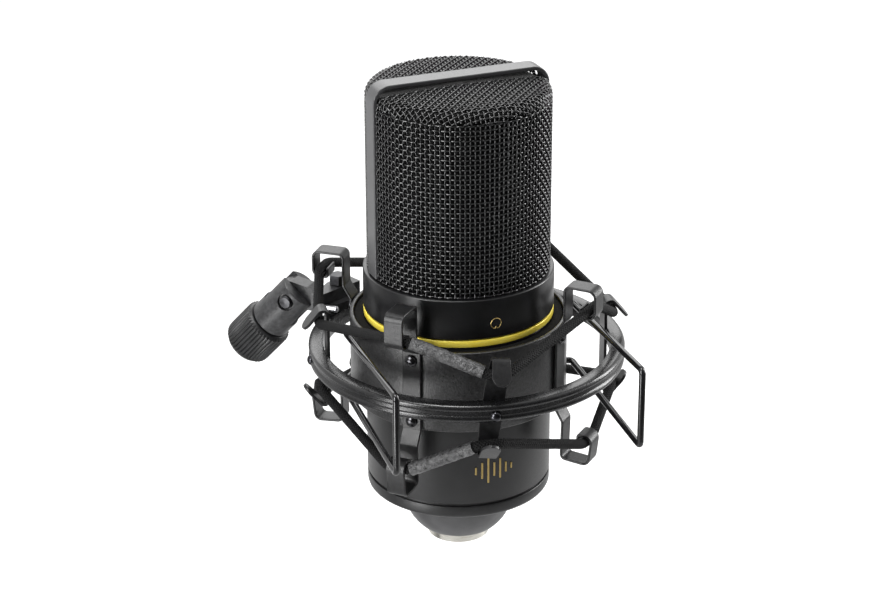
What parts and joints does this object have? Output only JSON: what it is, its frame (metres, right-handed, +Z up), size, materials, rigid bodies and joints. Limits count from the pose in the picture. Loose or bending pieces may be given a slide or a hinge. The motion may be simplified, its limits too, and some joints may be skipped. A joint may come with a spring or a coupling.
{
  "type": "condenser microphone in shock mount",
  "caption": "Side-address condenser microphone with a domed wire-mesh grille, hung by elastic cord in a spider shock mount with wire squeeze handles and a swivel stand adapter.",
  "frame": {"origin": "centre of the mouth of the threaded stand socket", "axes": "+Z up along the microphone's axis, -Y towards the microphone's front"},
  "size_m": [0.1073, 0.1186, 0.1487],
  "materials": {
    "grille_black": "black painted woven wire",
    "screen_black": "fine black mesh",
    "frame_black": "satin black paint",
    "body_black": "satin black paint",
    "gold": "polished gold plate",
    "connector_grey": "satin grey",
    "connector_silver": "polished nickel plate",
    "insert_black": "moulded black",
    "chassis_steel": "bare steel",
    "board_green": "green solder resist",
    "diaphragm_gold": "gold-coated film",
    "capsule_brass": "satin brass",
    "capacitor_yellow": "wrapped film",
    "strap_black": "textured black powder coat",
    "rivet_steel": "dark domed steel",
    "band_black": "textured black powder coat",
    "foam_black": "dense black foam",
    "handle_black": "gloss black wire",
    "ring_black": "satin black paint",
    "bracket_black": "textured black powder coat",
    "ring_rivet_dark": "dark steel",
    "cord_black": "black braided sheath",
    "sleeve_grey": "rough grey tubing",
    "arm_grey": "dark grey paint on cast metal",
    "screw_steel": "bright steel",
    "bolt_dark": "blackened steel",
    "yoke_grey": "dark grey paint on cast metal",
    "nut_grey": "dark grey",
    "pivot_steel": "dark bright steel"
  },
  "bodies": {
    "stand_nut": {"knurled_nut": "nut_grey"},
    "yoke": {"yoke": "yoke_grey", "pivot_screw": "pivot_steel", "pivot_nut": "pivot_steel"},
    "ring": {"outer_ring": "ring_black", "bracket_front": "bracket_black", "bracket_right": "bracket_black", "bracket_rear": "bracket_black", "bracket_left": "bracket_black", "ring_rivet_front": "ring_rivet_dark", "ring_rivet_right": "ring_rivet_dark", "ring_rivet_rear": "ring_rivet_dark", "ring_rivet_left": "ring_rivet_dark", "swivel_arm": "arm_grey", "arm_bolt": "bolt_dark", "arm_screw": "screw_steel", "elastic_upper": "cord_black", "elastic_lower": "cord_black", "sleeve_upper": "sleeve_grey", "sleeve_lower": "sleeve_grey"},
    "cradle": {"cradle_band": "band_black", "foam_liner": "foam_black", "strap_front_left": "strap_black", "strap_front_right": "strap_black", "strap_rear_right": "strap_black", "strap_rear_left": "strap_black", "rivet_front_left_upper": "rivet_steel", "rivet_front_left_lower": "rivet_steel", "rivet_front_right_upper": "rivet_steel", "rivet_front_right_lower": "rivet_steel", "rivet_rear_right_upper": "rivet_steel", "rivet_rear_right_lower": "rivet_steel", "rivet_rear_left_upper": "rivet_steel", "rivet_rear_left_lower": "rivet_steel"},
    "handle_left": {"handle_left": "handle_black"},
    "handle_right": {"handle_right": "handle_black"},
    "microphone": {"grille_front": "grille_black", "grille_rear": "grille_black", "grille_frame": "frame_black", "inner_screen": "screen_black", "collar": "body_black", "gold_ring": "gold", "body_tube": "body_black", "base_ring": "body_black", "connector_housing": "connector_grey", "xlr_shell": "connector_silver", "xlr_insert": "insert_black", "xlr_pin_1": "connector_silver", "xlr_pin_2": "connector_silver", "xlr_pin_3": "connector_silver", "capsule_deck": "chassis_steel", "capsule_post": "chassis_steel", "capsule": "capsule_brass", "diaphragm": "diaphragm_gold", "chassis": "chassis_steel", "circuit_board": "board_green", "capacitor": "capacitor_yellow"}
  },
  "joints": [
    {"name": "stand_turn", "type": "hinge", "parent": "stand_nut", "child": "yoke", "pos_m": [0, 0, 0], "axis": [-0.4614, 0.4846, -0.7431], "continuous": true},
    {"name": "swivel", "type": "hinge", "parent": "yoke", "child": "ring", "pos_m": [0.01237, -0.01299, 0.01992], "axis": [-0.7242, -0.6896, 0], "range_deg": [-42, 90]},
    {"name": "suspension", "type": "slide", "parent": "ring", "child": "cradle", "axis": [0, 0, 1], "range_m": [-0.0035, 0.0035], "stiffness_N_per_m": 4000, "springref_m": 0.00158, "deforming": ["elastic_upper", "elastic_lower", "sleeve_upper", "sleeve_lower"]},
    {"name": "mic_lift", "type": "slide", "parent": "cradle", "child": "microphone", "axis": [0, 0, 1], "range_m": [0, 0.05]},
    {"name": "handle_left_squeeze", "type": "hinge", "parent": "cradle", "child": "handle_left", "pos_m": [0.01775, -0.04973, 0.01232], "axis": [0, 0, 1], "range_deg": [0, 12], "stiffness_Nm_per_rad": 0.4},
    {"name": "handle_right_squeeze", "type": "hinge", "parent": "cradle", "child": "handle_right", "pos_m": [0.08397, -0.05459, 0.01232], "axis": [0, 0, 1], "range_deg": [-12, 0], "stiffness_Nm_per_rad": 0.4}
  ]
}
